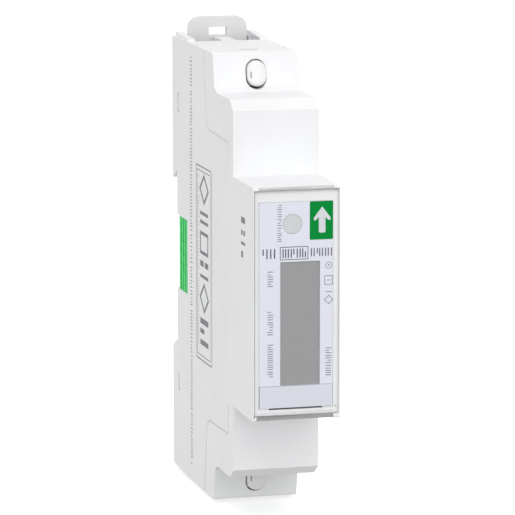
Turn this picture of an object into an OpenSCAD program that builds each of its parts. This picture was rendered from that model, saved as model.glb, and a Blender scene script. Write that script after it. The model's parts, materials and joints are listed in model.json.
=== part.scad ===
// One-module electricity meter for a 35 mm mounting rail.
// Origin: centre of the rail seat. +Z up, the nose faces -Y, +Y points into the rail.

/* [Body] */
// Width across the rail, one module
body_w = 17.5; // [17.2:0.1:18]
// Height between the two wire ends
body_h = 91.3; // [90.8:0.1:93]
// Distance from the rail seat to the front of the nose
seat_depth = 62.7; // [61.5:0.1:65]
// Distance from the rail seat to the shoulder faces beside the nose
mid_depth = 47.2; // [46.6:0.1:48]
// Height of the nose, which passes through the panel cut-out
nose_h = 46; // [45.4:0.1:46.6]
// Wall thickness of both shells
wall = 1.2; // [1:0.1:1.3]

/* [Rail] */
// Height of the recess that takes the rail
rail_gap = 35.9; // [35.6:0.1:36.2]
// How far the lugs reach behind the rail seat
lug_depth = 4; // [3.9:0.1:4.5]
// Width of the rail clips
clip_w = 12.4; // [11.6:0.2:12.8]
// How far the top clip's tab stands above the body
tab_h = 4.2; // [3.6:0.1:6]

/* [Display] */
// Width of the visible part of the display
lcd_w = 8; // [7:0.1:8.4]
// Height of the visible part of the display
lcd_h = 24.4; // [20:0.1:24.4]
// Diameter of the pulse light's window
led_d = 3.8; // [3:0.1:4.4]
// Inward travel of the scroll bar
press = 0.5; // [0.3:0.05:0.5]

/* [Terminals] */
// Distance from each wire end to its clamp screw
screw_inset = 4.3; // [4.2:0.1:4.5]
// Diameter of the clamp screw's thread
thread_d = 4; // [3.5:0.5:4]
// How far a clamp closes
clamp_travel = 4.2; // [3.5:0.1:4.2]

/* [Hidden] */
$fn = 48;

half_w = body_w / 2;
half_h = body_h / 2;
half_nose = nose_h / 2;
half_rail = rail_gap / 2;
front_y = -seat_depth;
mid_y = -mid_depth;
inner_w = body_w - 2 * wall;
cut = 0.05;              // how far a cutting solid overshoots a face
gap = 0.3;               // clearance between pieces that move apart
running = 0.05;          // radial clearance of a shaft in its hole

// Side outline
shoulder_z = 38;         // the flat top of each shoulder
shoulder_cut = [3, 2];   // the flat cut along its front edge, back and down
hollow = [[-34.2, shoulder_z], [-32.05, shoulder_z + 1]]; // facet between shoulder and terminal face
terminal_y = -30.5;      // where a terminal face meets the wire end
nose_r = 0.4;
hook_depth = 3;          // fixed hook, measured behind the seat
hook_z = 16;
seat_z = 15.9;           // the flat seat ends here; below it lies a 0.05 mm relief
relief = 0.05;
ramp_z = 1.8;            // how far the lower lug's ramp falls
rear_wall = 1.3;
channel_y = -0.8;        // front face of the clip channels
chamber_rear_y = channel_y - rear_wall;

// Seam between the shells, a stepped line on each side
seam = [[-22.94, half_h + 1], [-24.7, 35.5], [-25.3, 31.8], [-25.9, 30.6], [-27.6, 29.8],
        [-43, 29.3]];
tongue_y = -43;          // front edge of the rear housing's side walls

// Terminals, upper one; the lower one is its mirror image
screw_z = half_h - screw_inset;
chamber_z = half_h - wall;                    // inside of the wire end's wall
partition_z = 36.2;
partition_t = 1.1;
head_d = 5.4;
head_y = -28.4;
head_h = 2.6;
tip_y = -10;                                  // the screw's tip, close to the busbar
bar_y = -9.9;
bar_t = 1.5;
cage_w = 14.4;
cage_side = 0.8;
cage_h = 5.8;
cage_z = screw_z - 0.15;
cage_rear_y = -2.4;
cage_t = 1.2;
cage_front_t = 2.6;
cage_front_y = head_y + head_h + clamp_travel + 0.4;
entries = [[-6.7, -1], [2, 7.2]];             // wire entries, either side of a web
entry_y = [-8.4, chamber_rear_y];
cap_w = 4;
cap_h = 5.3;
cap_hole = [4.3, 5.95];
cap_pos = [0.1, screw_z + 0.1];                // the cap sits a little off its hole's centre
cap_tilt = -13;                                // its front leans with the terminal face

// Front of the nose, in layers from the window backwards
window_y = front_y + 0.05;
window_t = 0.45;
label_y = front_y + 0.53;
label_t = 0.2;
plate_y = front_y + 0.75;
plate_t = 1;
window_w = body_w - 0.36;                     // its rebate
window_z = [-22, 22.35];
label_w = 14.84;
label_z = [-20.76, 20];
lcd_x = 0.8;
lcd_z = -16.15 + lcd_h / 2;
led_pos = [-0.76, 15.65];
bar_w = 14.76;                                // scroll bar
bar_z = [-20.55, -16.25];
bar_gap = 0.06;                               // clearance round the scroll bar
slit = [10.8, -20.9];                         // wider slit under it: its width and lower edge
board_y = -57;                                // front face of the display board
board_t = 1;

// Main board, upright along the right-hand wall
main_x = 4.6;
main_t = 1.2;
signal_x = [-6, 3.5];
signal_y = [-43.6, -35.4];

// ---------------------------------------------------------------- helpers
function mirror_z(points) = [for (i = [len(points) - 1 : -1 : 0]) [points[i][0], -points[i][1]]];
function arc(centre, r, from, to, steps = 6) =
    [for (i = [0 : steps]) let (a = from + (to - from) * i / steps) centre + r * [cos(a), sin(a)]];

// A side outline [y, z] extruded to width w, centred on x
module slab(points, w, x = 0)
    translate([x - w / 2, 0, 0]) rotate([90, 0, 90]) linear_extrude(w) polygon(points);

// The same, between two x values and grown by extra at both ends
module across(points, span, extra = 0)
    slab(points, span[1] - span[0] + 2 * extra, (span[0] + span[1]) / 2);

// A box from its two corners
module block(low, high) translate(low) cube(high - low);

// A cylinder along +Y from y
module rod(d, y, length, x = 0, z = 0)
    translate([x, y, z]) rotate([-90, 0, 0]) cylinder(d = d, h = length);

// An upright oval bar along +Y from y
module oval(w, h, y, length) {
    for (side = [-1, 1]) rod(w, y, length, 0, side * (h - w) / 2);
    block([-w / 2, y, -(h - w) / 2], [w / 2, y + length, (h - w) / 2]);
}

// Draws its children, and their mirror image at the other wire end
module both_ends() { children(); mirror([0, 0, 1]) children(); }

// ---------------------------------------------------------------- shells
function body_front_half() = concat(
    arc([front_y + nose_r, half_nose - nose_r], nose_r, 180, 90, 3),
    [[mid_y, half_nose], [mid_y, shoulder_z - shoulder_cut[1]], [mid_y + shoulder_cut[0], shoulder_z]],
    hollow,
    [[terminal_y - 0.1, half_h - 0.25], [terminal_y + 0.15, half_h]]);

module solid_body() {
    slab(concat(
        mirror_z(body_front_half()), body_front_half(),
        [[lug_depth - 0.3, half_h], [lug_depth, half_h - 0.3], [lug_depth, hook_z],
         [hook_depth, hook_z], [-relief, half_rail - relief], [-relief, seat_z], [0, seat_z],
         [0, -seat_z], [-relief, -seat_z], [-relief, -half_rail], [0, -half_rail],
         [lug_depth, -half_rail - ramp_z], [lug_depth, 0.6 - half_h], [lug_depth - 0.6, 0.3 - half_h],
         [-7, 0.05 - half_h], [-12, -half_h]]), body_w);
}

function cavity_half() = [
    [plate_y + plate_t, half_nose - wall], [mid_y + wall, half_nose - wall],
    [mid_y + wall, shoulder_z - shoulder_cut[1] - 0.5 * wall],
    [mid_y + shoulder_cut[0] + 0.3 * wall, shoulder_z - wall],
    hollow[0] + wall * [0.23, -1], hollow[1] + wall * [0.87, -0.7],
    [terminal_y + wall, chamber_z], [chamber_rear_y, chamber_z], [chamber_rear_y, half_rail + 1]];

module cavity()
    slab(concat(cavity_half(), [[-rear_wall, half_rail + 1], [-rear_wall, -half_rail - 1]],
        mirror_z(cavity_half())), inner_w);

module in_front_of_seam() {
    far = [[-99, half_h + 1]];
    slab(concat(far, seam, mirror_z(seam), mirror_z(far)), 2 * body_w);
}

module shells() difference() { solid_body(); cavity(); }

// Hairline groove where the seam shows on both side faces
module seam_grooves() {
    width = 0.2;
    depth = 0.4;
    for (side = [-1, 1])
        both_ends() {
            slab(concat([for (point = seam) point + [cut, -cut]],
                [for (i = [len(seam) - 1 : -1 : 0]) seam[i] + [-width, width]]), 2 * depth, side * half_w);
            slab([[tongue_y - width, 23.3], [tongue_y + cut, 23.3], [tongue_y + cut, 29.4],
                [tongue_y - width, 29.4]], 2 * depth, side * half_w);
        }
}

// Channel for a rail clip: a wide slot for its plate, a narrow one for its spine
module clip_channel() {
    block([-clip_w / 2 - gap, channel_y, half_rail - 0.15], [clip_w / 2 + gap, 1.6, half_h + cut]);
    block([-4.8, 1.6 - cut, hook_z - cut], [4.8, lug_depth + cut, half_h + cut]);
    block([-4.8, 0.85, hook_z - cut], [4.8, 1.6, half_rail]);
}

module wire_entries()
    for (span = entries) {
        block([span[0], entry_y[0], chamber_z - cut], [span[1], entry_y[1], half_h + cut]);
        block([span[0], entry_y[1] - cut, half_h - 2.5], [span[1], channel_y + cut, half_h + cut]);
    }

// Guide rib beside the top clip's tab
module tab_rib(side) {
    slab([[2.4, half_h - 0.4], [2.4, half_h + 1], [-8, half_h + 0.45], [-8.5, half_h + 0.25],
          [-8.7, half_h - 0.4]], 1.5, side * 7.65);
}

// Long snap arms on the front cover reach windows beside the rail seat
snap_windows = [[30.3, 34.4], [-28.8, -24.8]];
arm_x = [6.95, 7.45];
arm_y = [-46.2, -0.7];
barb_x = half_w - 0.15;
board_slots = [-27.6, 29.6];

module rear_housing() color([0.93, 0.93, 0.94]) {
    difference() {
        union() {
            difference() { shells(); in_front_of_seam(); }
            both_ends() {
                // wall between the terminal chamber and the electronics
                block([-inner_w / 2 - cut, -24, partition_z],
                    [inner_w / 2 + cut, chamber_rear_y + cut, partition_z + partition_t]);
                block([-inner_w / 2 + 0.15, -32.2, partition_z],
                    [inner_w / 2 - 0.15, -24 + cut, partition_z + partition_t]);
            }
            for (side = [-1, 1]) tab_rib(side);
            // slots behind the busbars that hold the main board's corners
            for (z = board_slots)
                block([main_x - 1.1, bar_y + bar_t + 0.2, z - 1], [6.8, -rear_wall + cut, z + 1]);
        }
        both_ends() { clip_channel(); wire_entries(); }
        // busbars pass through the partitions
        both_ends() block([-4.1, bar_y - 0.1, partition_z - cut],
            [4.1, bar_y + bar_t + 0.1, partition_z + partition_t + cut]);
        block([main_x - 0.1, bar_y, board_slots[0]], [main_x + main_t + 0.1, -3, board_slots[1]]);
        for (side = [0, 1], span = snap_windows) mirror([side, 0, 0]) {
            block([arm_x[0] - 0.1, chamber_rear_y - cut, span[0]], [half_w + cut, -0.55, span[1]]);
        }
        // seat of the seal label, and the notch behind it
        block([-half_w - cut, -8.9, -6.9], [-half_w + 0.15, cut, 8.55]);
        block([-half_w - cut, -1.95, -6.9], [-half_w + 0.9, cut, 8.55]);
        seam_grooves();
    }
}

// Half-round finger notch in the wire end, just in front of the seam
module end_notch() intersection() {
    translate([0.1, -24.5, half_h - 2]) cylinder(d = 4.5, h = 4);
    block([-5, -30, half_h - 3], [5, -24.5, half_h + 3]);
}

// Small nicks at the seam's two corners
module corner_marks() for (x = [-7.35, 8.1])
    block([x - 0.35, -23.7, half_h - 0.8], [x + 0.35, seam[0][0] + cut, half_h + cut]);

module front_cover() color([0.97, 0.97, 0.98]) {
    difference() {
        union() {
            intersection() { shells(); in_front_of_seam(); }
            for (side = [0, 1], span = snap_windows) mirror([side, 0, 0]) {
                block([arm_x[0], arm_y[0], span[0] + 0.15], [arm_x[1], arm_y[1], span[1] - 0.15]);
                block([arm_x[0], arm_y[1] - 1.25, span[0] + 0.15], [barb_x, arm_y[1], span[1] - 0.15]);
            }
        }
        // window rebate, label seat and the openings behind them
        block([-window_w / 2, front_y - 1, window_z[0]],
            [window_w / 2, window_y + window_t + 0.02, window_z[1] + 0.05]);
        across(upper_lip_seat, upper_lip_x, 0.05);
        across(lower_lip_seat, lower_lip_x, 0.05);
        block([-label_w / 2 - 0.22, front_y, label_z[0] - 0.05],
            [label_w / 2 + 0.05, plate_y, label_z[1] + 0.05]);
        block([-7.4, front_y, -21.6], [7.4, window_y + window_t + 0.2, -21.47]);
        rim_marks();
        block([lcd_x - lcd_w / 2 - 0.35, front_y, lcd_z - lcd_h / 2 - 0.05],
            [lcd_x + lcd_w / 2 + 0.35, plate_y + plate_t + cut, lcd_z + lcd_h / 2 + 0.4]);
        rod(led_d + 0.1, front_y, 3, led_pos[0], led_pos[1]);
        bar_opening(front_y, plate_y + plate_t + cut);
        both_ends() translate([0, 0, screw_z]) oval(cap_hole[0], cap_hole[1], -36, 8);
        both_ends() { end_notch(); corner_marks(); }
        // opening for the small terminal under the lower shoulder
        block([signal_x[0] - 0.1, signal_y[0] - 0.1, -shoulder_z - cut],
            [signal_x[1] + 0.1, signal_y[1] + 0.1, -shoulder_z + wall + cut]);
        seam_grooves();
    }
}

// Side outlines of the window's lips, which reach the nose's top and bottom edges, and of their seats
upper_lip_x = [-7.6, 7.4];
lower_lip_x = [-8.05, 7.4];
lip_y = window_y + window_t;
lip_end = half_nose - 0.03;
upper_lip = [[window_y, 21.8], [lip_y, 21.8], [lip_y, lip_end], [window_y + 0.3, lip_end],
             [window_y, lip_end - 0.27]];
lower_lip = [[window_y, -21.5], [lip_y, -21.5], [lip_y, -22.1], [window_y + 1.2, -lip_end],
             [window_y + 0.75, -lip_end], [window_y, -21.7]];
upper_lip_seat = [[front_y - 1, 21.8], [lip_y + 0.03, 21.8], [lip_y + 0.03, half_nose + 1],
                  [front_y - 1, half_nose + 1]];
lower_lip_seat = [[front_y - 1, -21.5], [lip_y + 0.03, -21.5], [lip_y + 0.03, -22.1],
                  [window_y + 1.25, -half_nose - 0.03], [window_y + 1.25, -half_nose - 1],
                  [front_y - 1, -half_nose - 1]];

// Pin-sized marks at the corners of the window
module rim_marks() {
    depth_y = lip_y + 0.5;
    block([-window_w / 2 - 0.12, front_y - 1, -22.25], [-window_w / 2 + 0.15, depth_y, -21.95]);
    for (z = [-22.15, -20.75]) block([7.85, front_y - 1, z], [8.1, depth_y, z + 0.25]);
    block([7.8, front_y - 1, 21.9], [7.95, depth_y, 22.6]);
}

// Opening for the scroll bar, from y0 back to y1
module bar_opening(y0, y1) {
    block([-bar_w / 2 - bar_gap, y0, bar_z[0] - bar_gap], [bar_w / 2 + bar_gap, y1, bar_z[1] + bar_gap]);
    block([-slit[0] / 2, y0, slit[1]], [slit[0] / 2, y1, bar_z[0]]);
}

module clear_window() color([0.8, 0.88, 0.92, 0.35]) difference() {
    union() {
        block([-window_w / 2 + 0.12, window_y, window_z[0] + 0.03],
            [window_w / 2 - 0.08, lip_y, window_z[1]]);
        across(upper_lip, upper_lip_x);
        across(lower_lip, lower_lip_x);
    }
    bar_opening(window_y - 1, window_y + 2);
}

module face_label() color([0.91, 0.92, 0.96]) difference() {
    block([-label_w / 2, label_y, label_z[0]], [label_w / 2, label_y + label_t, label_z[1]]);
    block([lcd_x - lcd_w / 2, label_y - 1, lcd_z - lcd_h / 2],
        [lcd_x + lcd_w / 2, label_y + 1, lcd_z + lcd_h / 2]);
    rod(led_d + 0.1, label_y - 1, 2, led_pos[0], led_pos[1]);
    block([-label_w / 2 - 1, label_y - 1, label_z[0] - 1],
        [label_w / 2 + 1, label_y + 1, bar_z[1] + bar_gap]);
}

module seal_label() color([0.33, 0.78, 0.45]) {
    block([-half_w + 0.01, -8.8, -6.8], [-half_w + 0.14, -1.95, 8.45]);
}

// ---------------------------------------------------------------- rail clips
clip_front_y = -0.5;
clip_plate_t = 1.8;
spine_w = 9;
spine_rear_y = lug_depth - 0.3;
module rail_clip(end_z, slot_z) difference() {
    union() {
        block([-clip_w / 2, clip_front_y, half_rail + 0.4],
            [clip_w / 2, clip_front_y + clip_plate_t, end_z]);
        slab([[1.2, half_rail + 0.4], [1.2, 17.4], [2.3, hook_z + 0.2], [spine_rear_y, hook_z + 0.2],
              [spine_rear_y, 41], [clip_front_y + clip_plate_t - cut, 42.5]], spine_w);
    }
    // rounded corners of the tab
    for (side = [-1, 1]) translate([side * clip_w / 2, clip_front_y - 1, end_z]) rotate([-90, 0, 0])
        difference() {
            translate([-2.4, -2.4, 0]) cube([4.8, 4.8, 4]);
            translate([-side * 2.4, 2.4, -1]) cylinder(r = 2.4, h = 6);
        }
    // slot for a screwdriver
    block([-1.95, clip_front_y - 1, slot_z], [1.95, 3, slot_z + 1.7]);
    // relief slots that let the lower half of the clip flex
    for (side = [-1, 1]) block([side * 5.3 - 0.4, clip_front_y - 1, 22],
        [side * 5.3 + 0.4, 3, 34]);
}
module upper_rail_clip() color([0.9, 0.9, 0.91]) rail_clip(half_h + tab_h, half_h + 0.3);
module lower_rail_clip() color([0.9, 0.9, 0.91]) mirror([0, 0, 1]) rail_clip(half_h + 0.35, 42.6);

// ---------------------------------------------------------------- terminals
// Oval cap over a clamp screw, with a leaning domed front and a short skirt
cap_layers = [[0, -31.6], [0.13, -31.95], [0.45, -32.23], [0.95, -32.37], [1.6, -32.43]]; // inset, y
skirt_y = -30.4;
module screw_cap() translate([cap_pos[0], 0, cap_pos[1]]) difference() {
    union() {
        hull() {
            translate([0, -31.5, 0]) rotate([cap_tilt, 0, 0]) translate([0, 31.5, 0])
                for (layer = cap_layers)
                    oval(cap_w - 2 * layer[0], cap_h - 2 * layer[0], layer[1], 0.05, $fn = 32);
            oval(cap_w, cap_h, skirt_y, 0.05, $fn = 32);
        }
        oval(cap_w, cap_h, skirt_y, 1.4);
    }
    oval(cap_w - 1.4, cap_h - 1.4, -30.3, 2);
    block([-1.45, -33, -0.85], [-1.2, -31.7, 0.45]);
}
module upper_screw_cap() color([0.94, 0.94, 0.94]) screw_cap();
module lower_screw_cap() color([0.94, 0.94, 0.94]) mirror([0, 0, 1]) screw_cap();

module clamp_screw() translate([0, 0, screw_z]) difference() {
    union() {
        rod(head_d, head_y, head_h);
        rod(thread_d, head_y + head_h - cut, tip_y - head_y - head_h + cut);
    }
    block([-head_d, head_y - 1, -0.4], [head_d, head_y + 1.2, 0.4]);
    block([-0.4, head_y - 1, -1.7], [0.4, head_y + 1.2, 1.7]);
}
module upper_clamp_screw() color([0.75, 0.74, 0.7]) clamp_screw();
module lower_clamp_screw() color([0.75, 0.74, 0.7]) mirror([0, 0, 1]) clamp_screw();

module clamp_cage() difference() {
    block([-cage_w / 2, cage_front_y, cage_z - cage_h / 2], [cage_w / 2, cage_rear_y, cage_z + cage_h / 2]);
    block([-cage_w / 2 + cage_side, cage_front_y + cage_front_t, cage_z - cage_h],
        [cage_w / 2 - cage_side, cage_rear_y - cage_t, cage_z + cage_h]);
    rod(thread_d + 2 * running, cage_front_y - 1, cage_front_t + 2, 0, screw_z);
}
module upper_clamp_cage() color([0.72, 0.72, 0.74]) clamp_cage();
module lower_clamp_cage() color([0.72, 0.72, 0.74]) mirror([0, 0, 1]) clamp_cage();

shunt_z = 10;
module busbar() {
    block([-4, bar_y, shunt_z], [4, bar_y + bar_t, 43.6]);
    // tag for the sense lead
    block([3.2, bar_y - 4, 16], [4, bar_y + cut, 19]);
}
module upper_busbar() color([0.78, 0.5, 0.33]) busbar();
module lower_busbar() color([0.78, 0.5, 0.33]) mirror([0, 0, 1]) busbar();
module shunt() color([0.62, 0.6, 0.55]) difference() {
    block([-4, bar_y, -shunt_z], [4, bar_y + bar_t, shunt_z]);
    for (side = [-1, 1]) translate([side * 4, bar_y - 1, 0]) rotate([-90, 0, 0]) cylinder(d = 3, h = 4);
}

// ---------------------------------------------------------------- front stack
module scroll_button() color([0.86, 0.86, 0.9]) {
    block([-bar_w / 2, front_y + 0.4, bar_z[0]], [bar_w / 2, front_y + 2.2, bar_z[1]]);
    block([-1.5, front_y + 2.2 - cut, -19.3], [1.5, board_y - 2.6 - press, -17.4]);
}
module button_switch() color([0.2, 0.2, 0.22]) {
    block([-2.6, board_y - 1.6, -20.4], [2.6, board_y, -16.3]);
    rod(2, board_y - 2.3, 0.8, 0, -18.35);
}
glass_y = plate_y + 0.02;                     // just behind the label
glass_t = 1.6;
module lcd_glass() color([0.6, 0.61, 0.62])
    block([lcd_x - lcd_w / 2 - 0.3, glass_y, lcd_z - lcd_h / 2],
        [lcd_x + lcd_w / 2 + 0.3, glass_y + glass_t, lcd_z + lcd_h / 2 + 0.35]);
frame_side = 0.9;
module lcd_frame() color([0.95, 0.95, 0.93]) difference() {
    block([lcd_x - lcd_w / 2 - 0.35 - frame_side, plate_y + plate_t + 0.05, lcd_z - lcd_h / 2 + 0.3],
        [lcd_x + lcd_w / 2 + 0.35 + frame_side, board_y, lcd_z + lcd_h / 2 + 1.3]);
    block([lcd_x - lcd_w / 2 - 0.35, plate_y, lcd_z - lcd_h / 2 - 1],
        [lcd_x + lcd_w / 2 + 0.35, glass_y + glass_t, lcd_z + lcd_h / 2 + 0.4]);
    block([lcd_x - lcd_w / 2, plate_y, lcd_z - lcd_h / 2 + 1.2],
        [lcd_x + lcd_w / 2, board_y + 1, lcd_z + lcd_h / 2 - 0.4]);
}
module contact_strips() color([0.35, 0.35, 0.38])
    for (side = [-1, 1]) {
        x = lcd_x + side * (lcd_w / 2 - 0.7);
        block([x - 0.5, glass_y + glass_t, lcd_z - lcd_h / 2 + 1.4],
            [x + 0.5, board_y, lcd_z + lcd_h / 2 - 0.6]);
    }
module backlight() color([0.97, 0.98, 0.95])
    block([lcd_x - lcd_w / 2 + 1.4, glass_y + glass_t + 0.4, lcd_z - lcd_h / 2 + 1.6],
        [lcd_x + lcd_w / 2 - 1.4, board_y - 0.3, lcd_z + lcd_h / 2 - 0.8]);
module light_pipe() color([0.85, 0.86, 0.87]) {
    rod(led_d, label_y, board_y - 1.3 - label_y, led_pos[0], led_pos[1]);
    rod(led_d + 1, plate_y + plate_t, 0.8, led_pos[0], led_pos[1]);
}
module pulse_led() color([0.9, 0.3, 0.25])
    block([led_pos[0] - 0.8, board_y - 1, led_pos[1] - 0.6], [led_pos[0] + 0.8, board_y, led_pos[1] + 0.6]);
module display_board() color([0.1, 0.42, 0.22]) difference() {
    block([-7.2, board_y, -21.2], [7.2, board_y + board_t, 21.2]);
    for (z = [-12, 19]) rod(1.6, board_y - 1, 3, -6, z);
}

// ---------------------------------------------------------------- electronics
module main_board() color([0.1, 0.42, 0.22])
    slab([[-3.2, -27.4], [-3.2, 29.4], [-44.5, 29.4], [-44.5, 18], [board_y + board_t + 0.2, 18],
          [board_y + board_t + 0.2, -15], [-44.5, -15], [-44.5, -27.4]], main_t, main_x + main_t / 2);
module on_board(y, z, size) // size: height off the board, then along y and z
    block([main_x - size[0], y - size[1] / 2, z - size[2] / 2], [main_x, y + size[1] / 2, z + size[2] / 2]);
module board_header() color([0.12, 0.12, 0.13]) {
    block([main_x - 2.6, board_y + board_t, -6.5], [main_x, -49.5, 6.5]);
}
module metering_chip() color([0.12, 0.12, 0.13]) on_board(-20, -22, [1.2, 7, 7]);
module processor_chip() color([0.12, 0.12, 0.13]) on_board(-38, -6, [1.4, 9, 9]);
module crystal() color([0.8, 0.8, 0.8]) on_board(-46.5, -11, [2, 3.4, 4.6]);
module reservoir_capacitors() color([0.2, 0.22, 0.3])
    for (z = [13, 23]) translate([main_x, -36, z]) rotate([0, -90, 0]) cylinder(d = 8, h = 11);
module film_capacitor() color([0.75, 0.62, 0.25]) on_board(-21, 22, [8, 12, 12]);
module varistor() color([0.15, 0.4, 0.65])
    translate([main_x - 5.2, -17, -12.5]) cylinder(d = 9, h = 3.6);
module choke() color([0.3, 0.28, 0.27]) {
    translate([main_x, -20, 5]) rotate([0, -90, 0]) cylinder(d = 7, h = 8);
    for (x = [0, 7]) translate([main_x - x, -20, 5]) rotate([0, -90, 0]) cylinder(d = 11, h = 1.2);
}
module optocouplers() color([0.9, 0.9, 0.88])
    for (y = [-40, -32]) on_board(y, -21, [3.5, 4.6, 6.5]);
module sense_leads() color([0.7, 0.1, 0.1])
    for (side = [-1, 1]) block([3.3, bar_y - 5, side * 17.5 - 0.4], [main_x, bar_y - 4, side * 17.5 + 0.4]);
module signal_terminal() color([0.2, 0.55, 0.35]) difference() {
    block([signal_x[0], signal_y[0], -shoulder_z + 0.05], [signal_x[1], signal_y[1], -28.5]);
    for (i = [0 : 3], y = [-41.8, -37.2]) {
        x = signal_x[0] + 1.3 + 2.3 * i;
        block([x - 0.7, y - 0.8, -shoulder_z - 1], [x + 0.7, y + 0.8, -31]);
    }
}

rear_housing();
front_cover();
clear_window();
face_label();
seal_label();
upper_rail_clip();
lower_rail_clip();
upper_screw_cap();
lower_screw_cap();
upper_clamp_screw();
lower_clamp_screw();
upper_clamp_cage();
lower_clamp_cage();
upper_busbar();
lower_busbar();
shunt();
scroll_button();
button_switch();
lcd_glass();
lcd_frame();
contact_strips();
backlight();
light_pipe();
pulse_led();
display_board();
main_board();
board_header();
metering_chip();
processor_chip();
crystal();
reservoir_capacitors();
film_capacitor();
varistor();
choke();
optocouplers();
sense_leads();
signal_terminal();
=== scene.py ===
"""One-module electricity meter on a pale floor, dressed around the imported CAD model.
Metres, +Z up; sizes on the meter are written in mm and multiplied by MM. The nose faces -Y, the rail
seat is the plane Y = 0, and all print is plain strokes and shapes."""

import json
import math
import random

import bmesh
import bpy
from mathutils import Matrix, Vector


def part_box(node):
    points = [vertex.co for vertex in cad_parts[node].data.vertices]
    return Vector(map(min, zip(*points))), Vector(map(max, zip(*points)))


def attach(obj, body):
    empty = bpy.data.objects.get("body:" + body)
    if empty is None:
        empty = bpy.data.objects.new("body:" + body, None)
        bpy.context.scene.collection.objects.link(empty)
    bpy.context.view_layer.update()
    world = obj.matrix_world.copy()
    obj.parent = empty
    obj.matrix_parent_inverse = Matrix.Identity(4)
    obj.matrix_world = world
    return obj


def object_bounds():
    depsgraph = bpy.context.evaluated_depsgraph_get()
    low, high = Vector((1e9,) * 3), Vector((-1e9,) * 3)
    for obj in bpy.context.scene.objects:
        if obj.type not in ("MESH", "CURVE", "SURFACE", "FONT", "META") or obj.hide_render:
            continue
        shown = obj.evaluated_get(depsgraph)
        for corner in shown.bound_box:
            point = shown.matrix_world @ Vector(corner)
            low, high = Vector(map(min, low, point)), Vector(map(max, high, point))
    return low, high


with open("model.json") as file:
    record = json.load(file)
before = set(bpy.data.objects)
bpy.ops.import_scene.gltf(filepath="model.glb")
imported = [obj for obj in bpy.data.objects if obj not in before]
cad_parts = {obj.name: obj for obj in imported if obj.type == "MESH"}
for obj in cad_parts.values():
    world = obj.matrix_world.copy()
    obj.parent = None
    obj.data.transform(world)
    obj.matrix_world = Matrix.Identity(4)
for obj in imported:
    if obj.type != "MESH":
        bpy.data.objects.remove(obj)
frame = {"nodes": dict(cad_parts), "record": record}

CAD_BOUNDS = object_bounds()
MM = 0.001
NODES = frame["nodes"]
HOUSING = "housing"
rng = random.Random(11)

WINDOW_LOW, WINDOW_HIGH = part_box("clear_window")
LEFT_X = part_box("rear_housing")[0][0]
LABEL_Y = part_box("face_label")[0][1]
NOSE_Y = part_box("front_cover")[0][1]
UPPER_LIP, LOWER_LIP = 22.15, -21.9     # z in mm where the window's lips, grey with painted shade, begin
INK_LIFT = 0.012                        # mm that print stands proud of what it is printed on


# ------------------------------------------------------------------ materials
class Nodes:
    """A material's node tree with short calls for the nodes used here."""

    def __init__(self, name):
        self.material = bpy.data.materials.new(name)
        self.material.use_nodes = True
        self.tree = self.material.node_tree
        self.shader = self.tree.nodes["Principled BSDF"]
        coords = self.tree.nodes.new("ShaderNodeTexCoord")
        self.coords = coords.outputs["Object"]

    def add(self, kind, **values):
        node = self.tree.nodes.new(kind)
        for key, value in values.items():
            setattr(node, key, value)
        return node

    def link(self, source, target):
        self.tree.links.new(source, target)

    def noise(self, scale, detail=3.0, roughness=0.55, vector=None):
        node = self.add("ShaderNodeTexNoise")
        node.inputs["Scale"].default_value = scale
        node.inputs["Detail"].default_value = detail
        node.inputs["Roughness"].default_value = roughness
        self.link(vector or self.coords, node.inputs["Vector"])
        return node.outputs["Fac"]

    def stretch(self, factors):
        node = self.add("ShaderNodeMapping")
        node.inputs["Scale"].default_value = factors
        self.link(self.coords, node.inputs["Vector"])
        return node.outputs["Vector"]

    def ramp(self, fac, stops):
        node = self.add("ShaderNodeValToRGB")
        ramp = node.color_ramp
        while len(ramp.elements) < len(stops):
            ramp.elements.new(0.5)
        for element, (place, colour) in zip(ramp.elements, stops):
            element.position = place
            element.color = (*colour, 1.0)
        self.link(fac, node.inputs["Fac"])
        return node.outputs["Color"]

    def cells(self, scale):
        node = self.add("ShaderNodeTexVoronoi", distance="CHEBYCHEV")
        node.inputs["Scale"].default_value = scale
        self.link(self.coords, node.inputs["Vector"])
        return node.outputs["Distance"]

    def spread(self, fac, low, high, start=0.0, end=1.0):
        """low where fac is start, high where it is end, and even steps between."""
        node = self.add("ShaderNodeMapRange")
        node.inputs["From Min"].default_value = start
        node.inputs["From Max"].default_value = end
        node.inputs["To Min"].default_value = low
        node.inputs["To Max"].default_value = high
        self.link(fac, node.inputs["Value"])
        return node.outputs["Result"]

    def bump(self, height, distance, before=None):
        node = self.add("ShaderNodeBump")
        node.inputs["Distance"].default_value = distance
        node.inputs["Strength"].default_value = 1.0
        self.link(height, node.inputs["Height"])
        if before is not None:
            self.link(before, node.inputs["Normal"])
        self.link(node.outputs["Normal"], self.shader.inputs["Normal"])
        return node.outputs["Normal"]

    def put(self, **values):
        for key, value in values.items():
            self.shader.inputs[key.replace("_", " ")].default_value = value


def shade(colour, amount):
    return tuple(max(0.0, min(1.0, c * amount)) for c in colour)


def moulded_plastic(name, colour, rough=0.42, grain=9000.0, grain_depth=0.004, spread=0.025, coat=0.0):
    """Injection-moulded plastic: faint flow shading, a spark-eroded grain, its depth in mm, and uneven
    gloss."""
    n = Nodes(name)
    flow = n.noise(55.0, 4.0)
    n.link(n.ramp(flow, [(0.3, shade(colour, 1 - spread)), (0.7, shade(colour, 1 + spread))]),
           n.shader.inputs["Base Color"])
    n.link(n.spread(n.noise(240.0, 2.0), rough - 0.05, rough + 0.06), n.shader.inputs["Roughness"])
    soft = n.bump(n.noise(130.0, 1.0), 0.01 * MM)
    n.bump(n.noise(grain, 2.0), grain_depth * MM, before=soft)
    n.put(Specular_IOR_Level=0.45, Coat_Weight=coat, Coat_Roughness=0.25)
    return n.material


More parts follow.
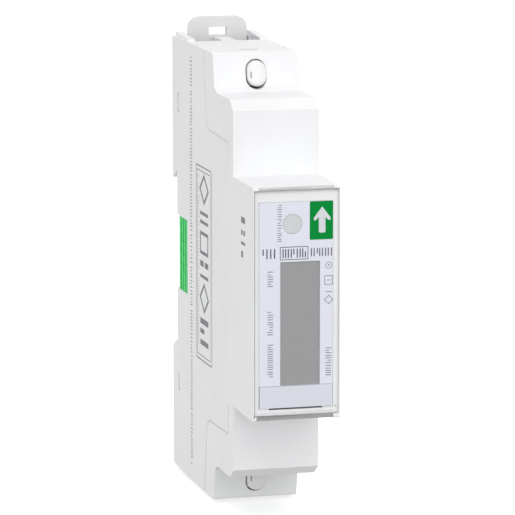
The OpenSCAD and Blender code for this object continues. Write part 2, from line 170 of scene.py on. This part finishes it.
def printed_film(name, colour, rough=0.3, scale=700.0):
    """Printed polyester film: a fine orange-peel in the varnish."""
    n = Nodes(name)
    n.link(n.ramp(n.noise(scale, 3.0), [(0.3, shade(colour, 0.985)), (0.7, shade(colour, 1.015))]),
           n.shader.inputs["Base Color"])
    n.link(n.spread(n.noise(160.0, 2.0), rough - 0.04, rough + 0.05), n.shader.inputs["Roughness"])
    n.bump(n.noise(900.0, 2.0), 0.003 * MM)
    return n.material


def display_glass(name):
    """Unlit liquid crystal glass: an even grey with a faint cell pattern under a smooth face."""
    n = Nodes(name)
    n.link(n.ramp(n.cells(1500.0), [(0.1, (0.322, 0.322, 0.33)), (0.6, (0.337, 0.337, 0.345))]),
           n.shader.inputs["Base Color"])
    n.link(n.spread(n.noise(80.0, 2.0), 0.16, 0.24), n.shader.inputs["Roughness"])
    n.bump(n.noise(120.0, 1.0), 0.002 * MM)
    n.put(Specular_IOR_Level=0.3)
    return n.material


def ink(name, colour, cover=0.12):
    """Screen-printed ink, slightly uneven where the paste is thin."""
    n = Nodes(name)
    n.link(n.ramp(n.noise(3500.0, 3.0), [(0.35, shade(colour, 1 - cover)), (0.7, shade(colour, 1 + cover))]),
           n.shader.inputs["Base Color"])
    n.link(n.spread(n.noise(1200.0, 2.0), 0.45, 0.6), n.shader.inputs["Roughness"])
    n.put(Specular_IOR_Level=0.04)
    return n.material


def seal_film(name):
    """Bright green tamper film printed with upright rows of fine light and dark flecks."""
    n = Nodes(name)
    light, middle, dark = (0.15, 0.85, 0.28), (0.05, 0.66, 0.145), (0.01, 0.35, 0.055)
    rows = n.add("ShaderNodeTexWave", wave_type="BANDS", bands_direction="Y", wave_profile="SIN")
    rows.inputs["Scale"].default_value = 175.0
    rows.inputs["Distortion"].default_value = 1.2
    n.link(n.coords, rows.inputs["Vector"])
    flecks = n.noise(1100.0, 3.0, 0.6, n.stretch((1.0, 0.45, 1.0)))
    mixed = n.add("ShaderNodeMix", data_type="FLOAT")
    mixed.inputs["Factor"].default_value = 0.6
    n.link(rows.outputs["Fac"], mixed.inputs["A"])
    n.link(flecks, mixed.inputs["B"])
    n.link(n.ramp(mixed.outputs["Result"], [(0.3, dark), (0.48, middle), (0.68, light)]),
           n.shader.inputs["Base Color"])
    n.link(n.spread(flecks, 0.5, 0.65), n.shader.inputs["Roughness"])
    n.bump(rows.outputs["Fac"], 0.004 * MM)
    n.put(Specular_IOR_Level=0.05)
    return n.material


def brushed_metal(name, colour, rough=0.3, grain=(1.0, 0.06, 1.0)):
    """Stamped and plated metal with fine drawn lines."""
    n = Nodes(name)
    lines = n.noise(2600.0, 3.0, 0.6, n.stretch(grain))
    n.link(n.ramp(lines, [(0.3, shade(colour, 0.86)), (0.7, shade(colour, 1.1))]),
           n.shader.inputs["Base Color"])
    n.link(n.spread(n.noise(500.0, 2.0), rough - 0.08, rough + 0.1), n.shader.inputs["Roughness"])
    n.bump(lines, 0.006 * MM)
    n.put(Metallic=1.0)
    return n.material


def clear_plastic(name):
    """Clear polycarbonate. The thin pane is almost invisible; its thick upper and lower lips are painted an
    opaque grey shade for the shade and refraction seen in them.
    """
    n = Nodes(name)
    split = n.add("ShaderNodeSeparateXYZ")
    n.link(n.coords, split.inputs["Vector"])
    height = split.outputs["Z"]
    # the lips are made opaque so that their painted grey shade shows
    painted_lip_mask = n.add("ShaderNodeMath", operation="MAXIMUM")
    for i, (start, step) in enumerate(((UPPER_LIP, 0.12), (LOWER_LIP, -0.08))):
        n.link(n.spread(height, 0.0, 1.0, start * MM, (start + step) * MM), painted_lip_mask.inputs[i])
    n.link(n.spread(painted_lip_mask.outputs["Value"], 0.008, 0.9), n.shader.inputs["Alpha"])
    painted_lip_shade = n.add("ShaderNodeMath", operation="ADD")      # painted shade: streaks, and the upper lip's painted shade pales upwards
    n.link(n.noise(2200.0, 3.0, 0.6, n.stretch((0.04, 1.0, 1.6))), painted_lip_shade.inputs[0])
    n.link(n.spread(height, 0.0, 0.35, 22.3 * MM, 23.0 * MM), painted_lip_shade.inputs[1])
    n.link(n.ramp(painted_lip_shade.outputs["Value"], [(0.3, (0.32, 0.32, 0.31)), (0.55, (0.48, 0.48, 0.47)),
                                          (0.95, (0.82, 0.82, 0.82))]), n.shader.inputs["Base Color"])
    n.link(n.spread(n.noise(1500.0, 2.0, 0.5, n.stretch((1.0, 1.0, 0.05))), 0.06, 0.11),
           n.shader.inputs["Roughness"])
    n.put(Specular_IOR_Level=0.5)
    return n.material


def circuit_board(name):
    """Green solder mask with darker copper pours showing through."""
    n = Nodes(name)
    cells = n.cells(420.0)
    n.link(n.ramp(cells, [(0.2, (0.02, 0.13, 0.055)), (0.45, (0.035, 0.21, 0.09))]),
           n.shader.inputs["Base Color"])
    n.link(n.spread(n.noise(400.0), 0.28, 0.4), n.shader.inputs["Roughness"])
    n.bump(cells, 0.02 * MM)
    return n.material


WHITE = (0.86, 0.865, 0.875)
LABEL_TINT = (0.775, 0.785, 0.88)
MATERIALS = {
    "housing_plastic": (moulded_plastic, dict(colour=WHITE)),
    "cover_plastic": (moulded_plastic, dict(colour=shade(WHITE, 1.01))),
    "clear_plastic": (clear_plastic, dict()),
    "label_film": (printed_film, dict(colour=LABEL_TINT)),
    "green_film": (seal_film, dict()),
    "clip_plastic": (moulded_plastic, dict(colour=(0.76, 0.765, 0.77), rough=0.38)),
    "cap_plastic": (moulded_plastic, dict(colour=(0.84, 0.84, 0.835), rough=0.22, coat=0.4)),
    "screw_steel": (brushed_metal, dict(colour=(0.66, 0.64, 0.6), rough=0.3)),
    "cage_steel": (brushed_metal, dict(colour=(0.6, 0.6, 0.61), rough=0.34)),
    "copper_bar": (brushed_metal, dict(colour=(0.72, 0.42, 0.28), rough=0.3, grain=(1.0, 1.0, 0.06))),
    "shunt_alloy": (brushed_metal, dict(colour=(0.5, 0.46, 0.4), rough=0.38, grain=(1.0, 1.0, 0.06))),
    "button_plastic": (moulded_plastic, dict(colour=(0.7, 0.71, 0.785), rough=0.36, spread=0.012)),
    "black_plastic": (moulded_plastic, dict(colour=(0.03, 0.03, 0.033), rough=0.5)),
    "display_glass": (display_glass, dict()),
    "white_plastic": (moulded_plastic, dict(colour=(0.8, 0.8, 0.77))),
    "contact_rubber": (moulded_plastic, dict(colour=(0.05, 0.05, 0.055), rough=0.7)),
    "diffuser_plastic": (moulded_plastic, dict(colour=(0.85, 0.86, 0.82), rough=0.6)),
    "pipe_plastic": (moulded_plastic, dict(colour=(0.63, 0.645, 0.655), rough=0.4, spread=0.01)),
    "led_plastic": (moulded_plastic, dict(colour=(0.7, 0.12, 0.08), rough=0.15)),
    "board_laminate": (circuit_board, dict()),
    "can_metal": (brushed_metal, dict(colour=(0.7, 0.7, 0.7), rough=0.25)),
    "capacitor_sleeve": (moulded_plastic, dict(colour=(0.03, 0.04, 0.09), rough=0.3)),
    "film_yellow": (moulded_plastic, dict(colour=(0.6, 0.43, 0.1), rough=0.35)),
    "varistor_coat": (moulded_plastic, dict(colour=(0.04, 0.14, 0.36), rough=0.4)),
    "ferrite": (moulded_plastic, dict(colour=(0.06, 0.055, 0.05), rough=0.65,
                                      grain=3000.0, grain_depth=0.02)),
    "lead_sleeve": (moulded_plastic, dict(colour=(0.45, 0.02, 0.02), rough=0.5)),
    "terminal_green": (moulded_plastic, dict(colour=(0.04, 0.24, 0.12), rough=0.4)),
}
MADE = {}


def finish_of(slot):
    """The material of one of the record's slots, made the first time it is asked for."""
    if slot not in MADE:
        make, settings = MATERIALS[slot]
        MADE[slot] = make(slot, **settings)
    return MADE[slot]


def edge_round(node, width):
    """Small moulded radius, width mm across, on a CAD node's sharp edges."""
    obj = NODES[node]
    weld = obj.modifiers.new("weld", "WELD")
    weld.merge_threshold = 0.001 * MM
    flat = obj.modifiers.new("flat", "DECIMATE")
    flat.decimate_type = "DISSOLVE"
    flat.angle_limit = math.radians(0.5)
    bevel = obj.modifiers.new("edge", "BEVEL")
    bevel.width = width * MM
    bevel.segments = 2
    bevel.limit_method = "ANGLE"
    bevel.angle_limit = math.radians(30.0)


SLOT_OF = {entry["node"]: entry["material_slot"] for entry in frame["record"]["subparts"]}
for node_name, node_object in NODES.items():
    node_object.data.materials.clear()
    node_object.data.materials.append(finish_of(SLOT_OF[node_name]))


# ------------------------------------------------------------------ mesh helpers
def mesh_object(name, bm):
    """A new object in the scene from a bmesh in metres."""
    mesh = bpy.data.meshes.new(name)
    bm.to_mesh(mesh)
    bm.free()
    obj = bpy.data.objects.new(name, mesh)
    bpy.context.scene.collection.objects.link(obj)
    return obj


def piece(name, bm, slot, material=None):
    """A piece that rides on the housing. It takes its finish from slot unless it is given a material."""
    bmesh.ops.recalc_face_normals(bm, faces=bm.faces)
    obj = mesh_object(name, bm)
    obj.data.materials.append(material or finish_of(slot))
    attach(obj, HOUSING)


def prism(bm, outline, base, lift, place):
    """A flat outline of (u, v) points raised from base to base + lift; place(u, v, w) gives its 3-D point."""
    low = [bm.verts.new(place(u, v, base)) for u, v in outline]
    high = [bm.verts.new(place(u, v, base + lift)) for u, v in outline]
    bm.faces.new(high)
    bm.faces.new(list(reversed(low)))
    count = len(outline)
    for i in range(count):
        j = (i + 1) % count
        bm.faces.new((low[i], low[j], high[j], high[i]))


def on_front(u, v, w):
    """Label coordinates: x and z in mm, w in mm out of the label's face."""
    return Vector((u * MM, LABEL_Y - w * MM, v * MM))


def on_left(u, v, w):
    """Left side: u is the distance in mm in front of the rail seat, v is z in mm."""
    return Vector((LEFT_X - w * MM, -u * MM, v * MM))


def on_right(u, v, w):
    """Right side, with the same u and v as the left."""
    return Vector((-LEFT_X + w * MM, -u * MM, v * MM))


def behind(u, v, w):
    """The back: x and z in mm, w in mm out of the rail seat's plane."""
    return Vector((u * MM, w * MM, v * MM))


def stroke(points, width, closed=False):
    """Outlines of the bars along a line of points, mitred where they meet."""
    points = [Vector(p) for p in points]
    count = len(points)
    pairs = [(i, (i + 1) % count) for i in range(count if closed else count - 1)]
    normals = [Vector((points[a].y - points[b].y, points[b].x - points[a].x)).normalized()
               for a, b in pairs]
    sides = []
    for i in range(count):
        if closed:
            before, after = normals[i - 1], normals[i]
        else:
            before, after = normals[max(i - 1, 0)], normals[min(i, len(normals) - 1)]
        mitre = (before + after).normalized()
        sides.append(mitre * (width / 2 / max(mitre.dot(after), 0.3)))
    return [[tuple(points[a] + sides[a]), tuple(points[a] - sides[a]),
             tuple(points[b] - sides[b]), tuple(points[b] + sides[b])] for a, b in pairs]


def ring(cx, cy, r, count=20, start=0.0, sweep=360.0):
    """Points round a circle, or along an arc of sweep degrees from start."""
    closed = sweep >= 360.0
    steps = count if closed else count + 1
    return [(cx + r * math.cos(math.radians(start + sweep * i / count)),
             cy + r * math.sin(math.radians(start + sweep * i / count))) for i in range(steps)]


def band(cx, cy, r, width, count=40):
    """The outlines that make up a flat ring of the given width inside radius r."""
    outer, inner = ring(cx, cy, r, count), ring(cx, cy, r - width, count)
    return [[outer[i], outer[(i + 1) % count], inner[(i + 1) % count], inner[i]] for i in range(count)]


def box_outline(x0, y0, x1, y1):
    return [(x0, y0), (x1, y0), (x1, y1), (x0, y1)]


def rounded_outline(x0, y0, x1, y1, r, count=5):
    outline = []
    for cx, cy, start in ((x1 - r, y0 + r, -90), (x1 - r, y1 - r, 0),
                          (x0 + r, y1 - r, 90), (x0 + r, y0 + r, 180)):
        outline += ring(cx, cy, r, count, start, 90.0)
    return outline


def print_layer(name, outlines, place, material, lift=INK_LIFT, base=0.0):
    """One colour of print as a piece, all its outlines raised by lift mm."""
    bm = bmesh.new()
    for outline in outlines:
        prism(bm, outline, base, lift, place)
    piece(name, bm, "label_film", material=material)


# ------------------------------------------------------------------ stage
def build_stage():
    """A pale round floor that curves up into a wall on every side. Its sizes are in metres."""
    bm = bmesh.new()
    floor_z = CAD_BOUNDS[0][2] - 0.4 * MM
    flat, radius, wall, around, steps = 2.2, 1.4, 5.0, 72, 14
    profile = [(0.4, 0.0), (flat, 0.0)]
    profile += [(flat + radius * math.sin(a), radius - radius * math.cos(a))
                for a in (math.radians(90 * (i + 1) / steps) for i in range(steps))]
    profile.append((flat + radius, wall))
    rows = [[bm.verts.new((r * math.cos(a), r * math.sin(a), floor_z + z))
             for a in (2 * math.pi * i / around for i in range(around))] for r, z in profile]
    bm.faces.new(rows[0])
    for low, high in zip(rows, rows[1:]):
        for i in range(around):
            j = (i + 1) % around
            bm.faces.new((low[i], high[i], high[j], low[j])).smooth = True
    obj = mesh_object("backdrop", bm)
    n = Nodes("paper")
    n.link(n.ramp(n.noise(3.0, 2.0), [(0.3, (0.84, 0.84, 0.84)), (0.7, (0.86, 0.86, 0.86))]),
           n.shader.inputs["Base Color"])
    n.put(Roughness=0.9, Emission_Color=(1.0, 1.0, 1.0, 1.0), Emission_Strength=0.42)
    obj.data.materials.append(n.material)
    obj.visible_diffuse = False      # the floor is bright, but doesn't light the meter from below


def build_camera():
    """A long lens far off, a little to the left of the nose and above it. Distances are in mm."""
    azimuth, elevation, distance = math.radians(-14.75), math.radians(9.53), 719.0
    right_shift, up_shift, focal = -7.64, 9.02, 259.07
    back = Vector((math.sin(azimuth) * math.cos(elevation), -math.cos(azimuth) * math.cos(elevation),
                   math.sin(elevation)))
    right = Vector((math.cos(azimuth), math.sin(azimuth), 0.0))
    up = back.cross(right)
    aim = Vector((0.0, NOSE_Y, 0.0))
    place = aim + (back * distance + right * right_shift + up * up_shift) * MM
    data = bpy.data.cameras.new("camera")
    data.sensor_width = 36.0
    data.lens = focal
    data.clip_start = 0.01
    data.clip_end = 50.0
    camera = bpy.data.objects.new("camera", data)
    turn = Matrix((right, up, back)).transposed().to_4x4()
    camera.matrix_world = Matrix.Translation(place) @ turn
    bpy.context.scene.collection.objects.link(camera)
    bpy.context.scene.camera = camera


SKY_LOW, SKY_HIGH = 0.5, 0.96           # the sky's strength well below and well above the horizon
LIGHT_AIM = Vector((0.0, -0.03, 0.0))
LIGHTS = {                              # place and side in metres, and power, of each square light
    "key": ((0.42, -1.0, 0.95), 0.7, 1.9),
    "second": ((-0.35, -1.05, 0.95), 0.9, 1.8),
    "front": ((0.1, -1.5, 0.12), 0.9, 3.7),
    "left": ((-0.5, -0.45, 0.15), 0.35, 0.27),
}


def area_light(name, place, side, power):
    data = bpy.data.lights.new(name, "AREA")
    data.size = side
    data.energy = power
    light = bpy.data.objects.new(name, data)
    light.location = place
    light.rotation_euler = (LIGHT_AIM - Vector(place)).to_track_quat("-Z", "Y").to_euler()
    bpy.context.scene.collection.objects.link(light)


def build_light():
    """A sky that is paler above than below, and four soft lights."""
    world = bpy.data.worlds.new("studio")
    bpy.context.scene.world = world
    world.use_nodes = True
    tree = world.node_tree
    background = tree.nodes["Background"]
    background.inputs["Color"].default_value = (1.0, 1.0, 1.0, 1.0)
    coords = tree.nodes.new("ShaderNodeTexCoord")
    split = tree.nodes.new("ShaderNodeSeparateXYZ")
    tree.links.new(coords.outputs["Generated"], split.inputs["Vector"])
    rise = tree.nodes.new("ShaderNodeMapRange")
    for socket, value in (("From Min", -0.35), ("From Max", 0.35),
                          ("To Min", SKY_LOW), ("To Max", SKY_HIGH)):
        rise.inputs[socket].default_value = value
    tree.links.new(split.outputs["Z"], rise.inputs["Value"])
    tree.links.new(rise.outputs["Result"], background.inputs["Strength"])
    for name, (place, side, power) in LIGHTS.items():
        area_light(name, place, side, power)
    bpy.context.scene.view_settings.view_transform = "Standard"


build_camera()
build_light()
build_stage()

# ------------------------------------------------------------------ printing on the label
INK = ink("ink_dark", (0.075, 0.075, 0.085))
INK_SOFT = ink("ink_soft", (0.27, 0.27, 0.29))
INK_FAINT = ink("ink_faint", (0.46, 0.46, 0.475))
INK_GREEN = ink("ink_green", (0.0, 0.265, 0.04), 0.03)
INK_WHITE = ink("ink_white", (0.72, 0.74, 0.77), 0.02)


def caption(u, v, along, height, upright, thick, pitch, word=99):
    """A caption's worth of fine strokes of mixed height, like the marks on a scale. along is in mm;
    a wider space follows a stroke by chance, a little more often than once in word strokes."""
    bars, place = [], 0.0
    while place < along - thick:
        share = rng.choice((1.0, 1.0, 1.0, 0.65))
        low = rng.choice((0.0, 1.0 - share)) * height
        high = low + share * height
        if upright:
            bars.append(box_outline(u + low, v - place - thick, u + high, v - place))
        else:
            bars.append(box_outline(u + place, v + low, u + place + thick, v + high))
        place += thick + pitch * rng.choice((0.85, 1.0, 1.0, 1.3))
        if rng.random() < 1.2 / word:
            place += 1.1 * pitch
    return bars


def label_print():
    """The label's print: a green block with an arrow, a dark row, pale columns and four plain marks."""
    print_layer("print_green_block", [rounded_outline(2.7, 12.4, 7.38, 19.95, 0.25)], on_front, INK_GREEN)
    mid = 5.19
    half = [(1.67, 16.72), (1.67, 16.2), (1.24, 16.2), (0.67, 16.8), (0.67, 13.95), (0.47, 13.75)]
    head = [(mid, 18.86)] + [(mid - across, v) for across, v in half]
    head += [(mid + across, v) for across, v in reversed(half)]
    print_layer("print_arrow", [head], on_front, INK_WHITE, lift=0.008, base=INK_LIFT)

    row = caption(-6.75, 9.0, 3.2, 1.9, False, 0.24, 0.4)
    row += caption(-2.75, 9.05, 4.8, 1.75, False, 0.22, 0.36)
    row += caption(2.95, 9.15, 4.4, 1.6, False, 0.2, 0.34)
    row += stroke([(-3.2, 8.7), (2.35, 8.7), (2.35, 11.15), (-3.2, 11.15)], 0.13, closed=True)
    print_layer("print_row", row, on_front, INK)

    columns = []
    for u, v, along, height, thick, pitch in (
            (-5.75, 6.5, 3.4, 1.1, 0.17, 0.3), (-5.75, -1.4, 4.7, 1.1, 0.17, 0.3),
            (-5.75, -7.9, 6.5, 1.1, 0.17, 0.3), (5.95, -9.0, 5.8, 1.15, 0.17, 0.3),
            (-3.75, 19.5, 7.5, 0.85, 0.15, 0.27)):
        columns += caption(u, v, along, height, True, thick, pitch)
    print_layer("print_columns", columns, on_front, INK_SOFT)

    marks = stroke(ring(6.55, 7.3, 0.62, 16), 0.13, closed=True) + [ring(6.55, 7.3, 0.18, 10)]
    marks += stroke(box_outline(5.75, 3.5, 7.35, 5.2), 0.13, closed=True)
    marks += stroke([(6.15, 4.35), (6.95, 4.35)], 0.13)
    marks += stroke([(5.9, 2.05), (7.2, 2.05)], 0.16)
    marks += stroke([(6.55, 1.35), (7.4, 0.5), (6.55, -0.35), (5.7, 0.5)], 0.14, closed=True)
    print_layer("print_marks", marks, on_front, INK_SOFT)


def side_print():
    """Grey marks on the left side: a long frame with large shapes in it, fine rows and a short column."""
    lines = stroke([(16.8, 21.5), (29.1, 21.5), (29.7, 20.9), (29.7, -17.9), (29.1, -18.5), (16.8, -18.5)],
                   0.26, closed=True)
    lines += stroke([(17.5, 20.6), (28.4, 20.6), (28.8, 20.2), (28.8, -17.2), (28.4, -17.6), (17.5, -17.6)],
                    0.18, closed=True)
    print_layer("side_frame", lines, on_left, INK_SOFT)

    u0, u1 = 20.0, 26.7
    mid = (u0 + u1) / 2
    big = stroke([(mid, 19.8), (u1, 17.0), (mid, 14.2), (u0, 17.0)], 0.7, closed=True)
    big += stroke([(u0, 12.0), (u1, 12.0)], 0.7) + stroke([(u0, 10.2), (u1, 10.2)], 0.7)
    big += stroke([(u0 + 0.3, 7.9), (u1 - 0.3, 7.9), (u1 - 0.3, 3.9), (u0 + 0.3, 3.9)], 0.7, closed=True)
    big += [box_outline(u0, 1.0, mid - 0.5, 2.2), box_outline(mid + 0.5, 1.0, u1, 2.2)]
    big += stroke([(u0, -1.0), (u1, -1.0)], 0.7)
    big += stroke([(mid, -2.6), (u1, -5.4), (mid, -8.2), (u0, -5.4)], 0.7, closed=True)
    big += [box_outline(u0, -10.9, u1, -9.7), box_outline(u0, -12.9, mid, -11.9)]
    big += [box_outline(u0, -15.3, u1, -14.2)]
    print_layer("side_shapes", big, on_left, INK_SOFT)

    print_layer("side_fine_row", caption(11.6, 43.0, 86.0, 1.5, True, 0.22, 0.46, 9), on_left, INK_SOFT)
    print_layer("side_inner_row", caption(18.1, 19.5, 35.0, 0.9, True, 0.16, 0.4, 5), on_left, INK_FAINT)
    short = [box_outline(53.4, 15.0, 56.4, 16.2), box_outline(53.4, 12.6, 54.6, 13.6),
             box_outline(55.2, 12.6, 56.4, 13.6), box_outline(53.4, 10.7, 56.4, 11.3),
             box_outline(53.4, 8.2, 54.9, 9.4)]
    print_layer("side_short_column", short, on_left, INK_SOFT)


def window_rim():
    """The clear window's polished side edges: a dark strip of painted shade for the left edge, a pale strip
    painted over the shadow of the right edge's gap, and a grey sheet of painted shade for the step between
    the left edge and the label.
    """
    front = WINDOW_LOW[1] / MM - 0.004
    back = WINDOW_HIGH[1] / MM
    left, right = WINDOW_LOW[0] / MM, WINDOW_HIGH[0] / MM
    bottom, top = LOWER_LIP, 22.3

    def upright(x0, x1, y0, y1, z0, z1):
        bm = bmesh.new()
        outline = rounded_outline(x0, y0, x1, y1, 0.03, 3)
        prism(bm, outline, z0, z1 - z0, lambda u, v, w: Vector((u, v, w)) * MM)
        return bm

    # painted shade for the left edge and the step, and a pale painted light over the right edge's gap
    line = ink("edge_painted_shade", (0.4, 0.4, 0.4), 0.05)
    step = ink("step_painted_shade", (0.52, 0.52, 0.52), 0.04)
    pale = ink("edge_painted_light", (0.84, 0.84, 0.84), 0.02)
    piece("window_edge_painted_shade_left", upright(left - 0.05, left + 0.01, front, back, bottom, top),
          "clear_plastic", material=line)
    piece("window_edge_painted_light_right", upright(right, right + 0.07, front, back, bottom, top),
          "clear_plastic", material=pale)
    piece("label_step_painted_shade", upright(-7.62, -7.46, back + 0.03, back + 0.15, -20.8, 21.7),
          "clear_plastic", material=step)


# The seam between the shells on each side: mm in front of the rail seat, then z, as the CAD has them
SEAM = [(23.12, 45.5), (24.7, 35.5), (25.3, 31.8), (25.9, 30.6), (27.6, 29.8), (43.0, 29.3)]
TONGUE = [(43.0, 23.4), (43.0, 29.3)]
NICK_X, NICK_Y, NICK_WIDTH = (-7.35, 8.1), (23.0, 23.65), 0.6


def seam_shadows():
    """Painted shadow: dark strips on the bottom of the hairline groove between the shells, and dark plates in
    the nicks at its corners. Where the groove runs forward to the tongue, a pale grey strip of lighter
    painted shade fills it almost flush instead."""
    # colours of painted shadow for the groove and the nicks
    dark = ink("seam_dark_painted_shadow", (0.24, 0.24, 0.245), 0.06)
    pale = ink("seam_pale_painted_shade", (0.7, 0.705, 0.71), 0.03)
    shadow, level = bmesh.new(), bmesh.new()
    lines = (                   # each line, its shift, the strip's mesh, width and depth
        (SEAM[:3], (0.08, 0.08), shadow, 0.13, 0.14),
        (TONGUE, (0.1, 0.0), shadow, 0.13, 0.14),
        (SEAM[2:], (0.09, 0.1), level, 0.26, 0.02))
    for place in (on_left, on_right):
        for end in (1, -1):
            for line, (du, dv), bm, width, depth in lines:
                points = [(u + du, end * (v + dv)) for u, v in line]
                for outline in stroke(points, width):
                    prism(bm, outline, -depth, 0.025, place)
    piece("seam_level_painted_shade", level, "housing_plastic", material=pale)
    for x in NICK_X:
        for end in (1, -1):
            outline = box_outline(x - NICK_WIDTH / 2, NICK_Y[0], x + NICK_WIDTH / 2, NICK_Y[1])
            prism(shadow, outline, 45.45, 0.16, lambda u, v, w: Vector((u, -v, end * w)) * MM)
    piece("seam_shadows", shadow, "black_plastic", material=dark)


def moulding_marks():
    """Marks the mould leaves: ejector rings on the right side and behind, and a small dial of ticks. The
    right side's rings are flat grey lines of painted shade for their edges.
    """
    # painted shade where the edges of the shallow rings would shade
    ring_edge_shade = ink("ejector_ring_painted_shade", (0.6, 0.605, 0.61), 0.05)
    bm = bmesh.new()
    for u, v in ((14.0, 36.0), (14.0, -36.0), (40.0, 14.0), (40.0, -14.0), (22.0, 0.0)):
        for outline in band(u, v, 2.4, 0.14):
            prism(bm, outline, 0.0, 0.008, on_right)
    piece("ejector_rings_right", bm, "housing_plastic", material=ring_edge_shade)

    bm = bmesh.new()
    for cx, cy in ((-4.6, 9.0), (4.6, 9.0), (-4.6, -10.0), (4.6, -10.0)):
        for outline in band(cx, cy, 1.6, 0.2):
            prism(bm, outline, 0.0, 0.2, behind)
    dial = band(0.0, 0.0, 3.1, 0.3) + band(0.0, 0.0, 1.5, 0.25, 28)
    for start, end in zip(ring(0.0, 0.0, 1.9, 12), ring(0.0, 0.0, 2.5, 12)):
        dial += stroke([start, end], 0.24)
    for outline in dial:
        prism(bm, outline, 0.0, 0.3, behind)
    piece("moulded_dial", bm, "housing_plastic")


label_print()
side_print()
window_rim()
moulding_marks()
seam_shadows()

# ------------------------------------------------------------------ CAD edges
EDGE_WIDTHS = {"rear_housing": 0.12, "front_cover": 0.12, "upper_rail_clip": 0.2, "lower_rail_clip": 0.2,
               "upper_clamp_cage": 0.15, "lower_clamp_cage": 0.15, "scroll_button": 0.06,
               "clear_window": 0.08}
for node_name, width in EDGE_WIDTHS.items():
    edge_round(node_name, width)
